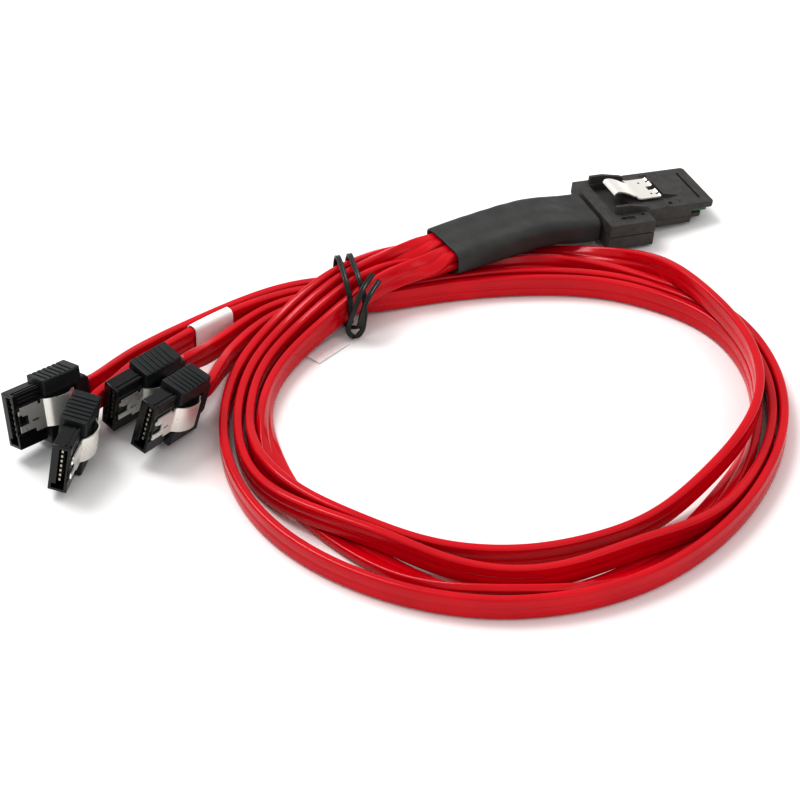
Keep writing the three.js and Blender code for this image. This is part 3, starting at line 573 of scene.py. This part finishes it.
class FlatPath:
    """Evenly spaced stations along a smooth curve, each with its width and thickness directions."""

    def __init__(self, rows, step, smoothing=None):
        places = [Vector(row[:3]) + ORIGIN for row in rows]
        leans = [row[3] for row in rows]
        dense_leans = []
        for start, end in zip(leans, leans[1:]):
            for k in range(CURVE_STEPS):
                dense_leans.append(start + (end - start) * eased(k / CURVE_STEPS))
        dense_leans.append(leans[-1])
        self.space_out(smooth_curve(places, CURVE_STEPS), dense_leans, step)
        if smoothing:
            self.even_out(**smoothing)
            self.space_out(self.points, self.leans, step)
        self.find_sections()

    def space_out(self, points, leans, step):
        """Puts the stations about a step apart along the line through the points."""
        marks = [0.0]
        for start, end in zip(points, points[1:]):
            marks.append(marks[-1] + (end - start).length)
        self.length = marks[-1]
        count = max(2, round(self.length / step))
        self.points, self.leans = [], []
        j = 0
        for i in range(count + 1):
            at = self.length * i / count
            while j < len(marks) - 2 and marks[j + 1] < at:
                j += 1
            share = min((at - marks[j]) / (marks[j + 1] - marks[j]), 1.0)
            self.points.append(points[j].lerp(points[j + 1], share))
            self.leans.append(leans[j] + (leans[j + 1] - leans[j]) * share)

    def even_out(self, spread, keep_start, keep_end, blend):
        """Takes the short waves out between the ends, as a springy jacket does."""
        last = len(self.points) - 1
        step = self.length / last
        reach = round(3 * spread / step)
        points, leans = [], []
        for i, (point, lean) in enumerate(zip(self.points, self.leans)):
            free = min(i * step - keep_start, self.length - i * step - keep_end) / blend
            share = eased(max(0.0, min(1.0, free)))
            total, mean, mean_lean = 0.0, Vector((0, 0, 0)), 0.0
            for j in range(max(i - reach, 0), min(i + reach, last) + 1):
                weight = math.exp(-0.5 * ((j - i) * step / spread) ** 2)
                total += weight
                mean += self.points[j] * weight
                mean_lean += self.leans[j] * weight
            points.append(point.lerp(mean / total, share))
            leans.append(lean + (mean_lean / total - lean) * share)
        self.points, self.leans = points, leans

    def find_sections(self):
        self.wide, self.thick = [], []
        for i, lean in enumerate(self.leans):
            along = self.along(i)
            side = along.cross(Vector((0, 0, 1))).normalized()
            up = side.cross(along)
            angle = math.radians(lean)
            wide = up * math.cos(angle) + side * math.sin(angle)
            self.wide.append(wide)
            self.thick.append(along.cross(wide))

    def along(self, i):
        """The direction of travel at station i."""
        last = len(self.points) - 1
        return (self.points[min(i + 1, last)] - self.points[max(i - 1, 0)]).normalized()

    def at(self, i, a, b):
        """The point at station i that lies a along the width and b along the thickness."""
        return self.points[i] + self.wide[i] * a + self.thick[i] * b


def new_piece(name, vertices, faces, body, slot, smooth=True):
    mesh = bpy.data.meshes.new(name)
    mesh.from_pydata([tuple(vertex) for vertex in vertices], [], faces)
    mesh.update()
    if smooth:
        mesh.polygons.foreach_set("use_smooth", [True] * len(mesh.polygons))
    piece = bpy.data.objects.new(name, mesh)
    bpy.context.collection.objects.link(piece)
    mesh.materials.append(LOOKS[slot])
    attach(piece, body)
    return piece


def sweep(name, rings, body, slot, caps=True):
    """A skin through rings of points, with flat ends unless the rings close on themselves."""
    count = len(rings[0])
    last = (len(rings) - 1) * count
    vertices = [point for ring in rings for point in ring]
    faces = []
    for base in range(0, last, count):
        for j in range(count):
            k = (j + 1) % count
            faces.append((base + j, base + k, base + count + k, base + count + j))
    if caps:
        faces.append(tuple(reversed(range(count))))
        faces.append(tuple(range(last, last + count)))
    piece = new_piece(name, vertices, faces, body, slot)
    if caps:
        for polygon in list(piece.data.polygons)[-2:]:
            polygon.use_smooth = False
    return piece


def rounded_section(width, thick, corner, across, arc):
    """Points (a, b) round a rounded rectangle, a along the width, with steps across it and on each arc."""
    points = []
    half_a, half_b = width / 2 - corner, thick / 2 - corner
    for quarter, (side_a, side_b) in enumerate(((1, 1), (-1, 1), (-1, -1), (1, -1))):
        for k in range(arc + 1):
            angle = math.radians(90 * (quarter + k / arc))
            a = side_a * half_a + corner * math.cos(angle)
            points.append((a, side_b * half_b + corner * math.sin(angle)))
        if quarter % 2 == 0:
            for k in range(1, across):
                points.append((side_a * half_a * (1 - 2 * k / across), side_b * (half_b + corner)))
    return points


def grooved(section, depth, spread):
    """The section with a shallow groove down the middle of each wide side."""
    shaped = []
    for a, b in section:
        groove = min(depth * math.exp(-((a / spread) ** 2)), abs(b))
        shaped.append((a, b - math.copysign(groove, b)))
    return shaped


# Cables

def connector_matrix(spot):
    """From a disk connector's own frame to the part's frame, with its lowest corner on the floor."""
    turn = Matrix.Rotation(math.radians(spot["heading"]), 4, "Z")
    turn = turn @ Matrix.Rotation(math.radians(spot["lift"]), 4, "Y")
    turn = turn @ Matrix.Rotation(math.radians(spot["lean"]), 4, "X")
    corners = []
    for size, ends in ((SHROUD, (0, SHROUD["length"])), (BOOT, (BOOT["start"], BOOT["end"]))):
        for x in ends:
            for side in (-0.5, 0.5):
                corners.append(turn @ Vector((x, side * size["thick"], -size["height"] / 2)))
    lowest = min(corner.z for corner in corners)
    place = ORIGIN + Vector((spot["x"], spot["y"], -lowest))
    return Matrix.Translation(place) @ turn


def route_rows(i):
    """A route's rows with the two at its connector added."""
    spot = CONNECTORS[ROUTE_CONNECTOR[i]]
    matrix = connector_matrix(spot)
    back = BOOT["end"] + COLLAR_LENGTH + GAP
    ends = []
    for x in (back + STRAIGHT_RUN, back):
        point = matrix @ Vector((x, 0, 0)) - ORIGIN
        ends.append((*point, -spot["lean"]))
    return ROUTES[i] + ends


def make_cables():
    """Each cable's moulded strip, with rounded edges and a groove down the middle of each side."""
    cables, paths = [], []
    section = rounded_section(CABLE["width"], CABLE["thick"], CABLE["corner"], across=18, arc=5)
    section = grooved(section, CABLE["groove_depth"], CABLE["groove_spread"])
    for i in range(len(ROUTES)):
        path = FlatPath(route_rows(i), CABLE["step"], SMOOTHING)
        rings = [[path.at(k, a, b) for a, b in section] for k in range(len(path.points))]
        name = f"cable_{i + 1}"
        cable = sweep(f"{name}_jacket", rings, "cable_body", "cable_jacket")
        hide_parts(name)
        cables.append(cable)
        paths.append(path)
    return cables, paths


# Sleeve, tie and labels

def sleeve_pinch(along):
    """How much of its full size the sleeve has at a share of its length from the plug."""
    cable_end = SLEEVE_PINCH["cable_end"] * along ** SLEEVE_PINCH["power"]
    from_plug = (along - SLEEVE_PINCH["middle"]) / SLEEVE_PINCH["spread"]
    return 1 - cable_end - SLEEVE_PINCH["plug_end"] * math.exp(-(from_plug ** 2))


def sleeve_rise(along, a, b):
    """How far the film stands out from the plain section: folds, and a hump over each cable."""
    from_middle = (along - SLEEVE_FOLDS["middle"]) / SLEEVE_FOLDS["spread"]
    wave = math.sin(along * SLEEVE_FOLDS["along"] + SLEEVE_FOLDS["across"] * b)
    folds = SLEEVE_FOLDS["depth"] * wave * math.exp(-(from_middle ** 2))
    humps = SLEEVE_HUMPS * math.cos(2 * math.pi * a / CABLE["width"]) * along
    side = 1 if b > 0 else -1
    return (folds + humps) * side * (1 - (2 * a / SLEEVE["width"]) ** 4)


def make_sleeve():
    """A shrunk film: a thin rounded tube with soft folds, drawn in a little at the cable end."""
    path = FlatPath(SLEEVE_PATH, SLEEVE["step"])
    width, height, wall, corner = (SLEEVE[key] for key in ("width", "height", "wall", "corner"))
    outer = rounded_section(width, height, corner, across=26, arc=6)
    inner = rounded_section(width - 2 * wall, height - 2 * wall, corner - wall, across=26, arc=6)
    last = len(path.points) - 1
    rings = []
    # the section's width runs across the path, so its thickness stands up
    for k in range(last + 1):
        along = k / last
        pinch = sleeve_pinch(along)
        rings.append([path.at(k, b * pinch + sleeve_rise(along, a, b), a * pinch) for a, b in outer])
    narrowing = SLEEVE_MOUTH["narrowing"]
    for k in (last, last - SLEEVE_MOUTH["stations"]):
        rings.append([path.at(k, b * narrowing, a * narrowing) for a, b in inner])
    sleeve = sweep("shrink_sleeve", rings, "cable_body", "sleeve_film")
    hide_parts("heat_shrink_sleeve")


def make_tie():
    """The twist tie: two coated wires side by side, bent along one path."""
    path = FlatPath([(*point, 0) for point in TIE_PATH], TIE["step"])
    section = rounded_section(TIE["wide"], TIE["thick"], TIE["corner"], across=8, arc=4)
    section = grooved(section, TIE["groove_depth"], TIE["groove_spread"])
    rings = []
    for k, point in enumerate(path.points):
        along = path.along(k)
        thick = along.cross(TIE_ACROSS).normalized()
        wide = thick.cross(along)
        rings.append([point + wide * a + thick * b for a, b in section])
    tie = sweep("twist_tie_strand", rings, "cable_body", "tie_coating")
    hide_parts("twist_tie")
    return tie


def make_wrap_label(path):
    """White vinyl folded round a cable and stuck to itself along one edge."""
    first, last = (round(share * (len(path.points) - 1)) for share in WRAP_LABEL["span"])
    width, thick, corner, film = (WRAP_LABEL[key] for key in ("width", "thick", "corner", "film"))
    outer = rounded_section(width, thick, corner, across=10, arc=5)
    inner = rounded_section(width - 2 * film, thick - 2 * film, corner - film, across=10, arc=5)
    rings = [[path.at(k, a, b) for a, b in outer] for k in range(first, last + 1)]
    for k in (last, first):
        rings.append([path.at(k, a, b) for a, b in inner])
    rings.append(rings[0])
    label = sweep("wrap_label", rings, "cable_body", "label_film", caps=False)
    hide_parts("cable_label_1")
    return label


# Moulded and stamped pieces, shaped in millimetres

def mesh_from(bm):
    """The vertices and faces of a millimetre bmesh, in metres."""
    bm.verts.index_update()
    vertices = [vertex.co * MM for vertex in bm.verts]
    faces = [[vertex.index for vertex in face.verts] for face in bm.faces]
    bm.free()
    return vertices, faces


def moulded(node, radius, slot, shift=Vector((0, 0, 0))):
    """A moulding with the form of a CAD node and small rounds on its sharp edges, in its place."""
    bm = bmesh.new()
    bm.from_mesh(frame["nodes"][node].data)
    bmesh.ops.scale(bm, vec=(1 / MM, 1 / MM, 1 / MM), verts=bm.verts)
    bmesh.ops.remove_doubles(bm, verts=bm.verts, dist=MERGE_DISTANCE)
    bmesh.ops.dissolve_limit(bm, angle_limit=math.radians(1.5), verts=bm.verts, edges=bm.edges)
    least = math.radians(32)
    sharp = [edge for edge in bm.edges if len(edge.link_faces) == 2 and edge.calc_face_angle(0) > least]
    bmesh.ops.bevel(
        bm, geom=sharp, offset=radius, offset_type="OFFSET", segments=2, profile=0.5,
        affect="EDGES", clamp_overlap=True,
    )
    vertices, faces = mesh_from(bm)
    piece = new_piece(f"{node}_moulding", [vertex + shift for vertex in vertices], faces, "cable_body", slot)
    normals = piece.modifiers.new("flat_faces", "WEIGHTED_NORMAL")
    normals.keep_sharp = True
    piece.data.set_sharp_from_angle(angle=math.radians(50))
    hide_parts(node)


def smooth_profile(points, steps):
    """Points of a smooth curve through 2-D points, the two given ends included."""
    places = [Vector((x, height, 0)) for x, height in points]
    return [(point.x, point.y) for point in smooth_curve(places, steps)]


def height_on(profile, x):
    for (start, low), (end, high) in zip(profile, profile[1:]):
        if start <= x <= end:
            return low + (high - low) * (x - start) / max(end - start, 1e-9)
    return profile[-1][1]


def stamped(name, node, body, profile, latch, matrix, upright):
    """Sheet metal: a bent profile with a width, less the latch's holes."""
    holes = latch["holes"]
    marks = sorted({*latch["across"]} | {a for hole in holes for a in hole[2:]})
    stations = sorted({round(x, 3) for x, _ in profile} | {x for hole in holes for x in hole[:2]})
    stations = [x for x in stations if profile[0][0] <= x <= profile[-1][0]]
    bm = bmesh.new()
    grid = []
    for x in stations:
        height = height_on(profile, x)
        grid.append([bm.verts.new((x, height, a) if upright else (x, a, height)) for a in marks])
    for i in range(len(stations) - 1):
        for j in range(len(marks) - 1):
            x, a = (stations[i] + stations[i + 1]) / 2, (marks[j] + marks[j + 1]) / 2
            if any(hole[0] < x < hole[1] and hole[2] < a < hole[3] for hole in holes):
                continue
            bm.faces.new((grid[i][j], grid[i + 1][j], grid[i + 1][j + 1], grid[i][j + 1]))
    loose = [vertex for vertex in bm.verts if not vertex.link_faces]
    bmesh.ops.delete(bm, geom=loose, context="VERTS")
    bmesh.ops.recalc_face_normals(bm, faces=bm.faces)
    bmesh.ops.solidify(bm, geom=bm.faces[:], thickness=latch["sheet"])
    bmesh.ops.recalc_face_normals(bm, faces=bm.faces)
    vertices, faces = mesh_from(bm)
    piece = new_piece(name, [matrix @ vertex for vertex in vertices], faces, body, "spring_steel")
    piece.data.set_sharp_from_angle(angle=math.radians(40))
    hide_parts(node)


def on_circle(x, y, radius_x, radius_y, degrees):
    angle = math.radians(degrees)
    return x + radius_x * math.cos(angle), y + radius_y * math.sin(angle)


def make_painted_hole_shade(matrix):
    """Painted shade: flat near-black patches on the plug's roof where its blind holes and faint moulded half
    rings lie, standing in for the shade inside these recesses.
    """
    outlines = []
    for x, y, half_x, half_y in PLUG_HOLES:
        outlines.append([on_circle(x, y, half_x, half_y, turn) for turn in range(0, 360, MARK_TURN)])
    outer, inner = RING["radius"], RING["radius"] - RING["line"]
    for x, y in PLUG_RINGS:
        for start in range(RING["first_angle"], RING["first_angle"] + 150, MARK_TURN):
            end = start + MARK_TURN
            outlines.append([
                on_circle(x, y, outer, outer, start), on_circle(x, y, outer, outer, end),
                on_circle(x, y, inner, inner, end), on_circle(x, y, inner, inner, start),
            ])
    vertices, faces = [], []
    for outline in outlines:
        faces.append([len(vertices) + k for k in range(len(outline))])
        vertices += [matrix @ (Vector((x, y, MARK_HEIGHT)) * MM) for x, y in outline]
    # painted shade of the holes and rings: flat faces in the black connector material, not cut as hollows
    new_piece("plug_painted_hole_shade", vertices, faces, "cable_body", "connector_black", smooth=False)


def make_rails(n, matrix):
    """Two narrow rails along the top of a disk connector's housing."""
    sides = ((0, 1, 3, 2), (4, 6, 7, 5), (0, 4, 5, 1), (2, 3, 7, 6), (0, 2, 6, 4), (1, 5, 7, 3))
    vertices, faces = [], []
    for x0, x1, y0, y1, z0, z1 in HOUSING_RAILS:
        faces += [[len(vertices) + corner for corner in side] for side in sides]
        corners = [Vector((x, y, z)) for x in (x0, x1) for y in (y0, y1) for z in (z0, z1)]
        vertices += [matrix @ (corner * MM) for corner in corners]
    new_piece(f"sata_{n}_rails", vertices, faces, "cable_body", "connector_black", smooth=False)


def make_disk_connectors():
    strap = smooth_profile(DISK_LATCH["strap"], DISK_LATCH["strap_steps"])
    for n, spot in enumerate(CONNECTORS, start=1):
        matrix = connector_matrix(spot)
        moulded(f"sata_{n}_housing", CONNECTOR_ROUND, "connector_black")
        moulded(f"sata_{n}_boot", CONNECTOR_ROUND, "boot_black")
        make_rails(n, matrix)
        stamped(
            f"sata_{n}_latch_plate", f"sata_{n}_latch", f"sata_{n}_latch_body",
            DISK_LATCH["plate"] + strap, DISK_LATCH, matrix, upright=True,
        )


def make_plug():
    dip = math.radians(PLUG["dip"])
    place = ORIGIN + Vector((PLUG["x"], PLUG["y"], PLUG["block"] * math.sin(dip)))
    matrix = Matrix.Translation(place) @ Matrix.Rotation(math.radians(PLUG["heading"]), 4, "Z")
    matrix = matrix @ Matrix.Rotation(dip, 4, "Y")
    closing = matrix.to_3x3() @ Vector((0, 0, PLUG["closing"]))
    moulded("mini_sas_upper_shell", PLUG_ROUND, "plug_shell")
    moulded("mini_sas_lower_shell", PLUG_ROUND, "plug_shell", closing)
    # painted shade in the blind holes and half rings on the plug's roof
    make_painted_hole_shade(matrix)
    tab = smooth_profile(PLUG_LATCH["tab"], PLUG_LATCH["tab_steps"])
    stamped(
        "plug_latch_plate", "mini_sas_latch", "mini_sas_latch_body",
        tab + PLUG_LATCH["plate"], PLUG_LATCH, matrix, upright=False,
    )


# Finish of the nodes that stay as they are

def dress_nodes():
    slots = {part["node"]: part["material_slot"] for part in frame["record"]["subparts"]}
    for name, node in frame["nodes"].items():
        node.data.materials.clear()
        node.data.materials.append(LOOKS[slots[name]])


make_camera()
LOOKS = make_looks()
make_stage()
dress_nodes()
cables, paths = make_cables()
make_sleeve()
tie = make_tie()
label = make_wrap_label(paths[0])
make_disk_connectors()
make_plug()
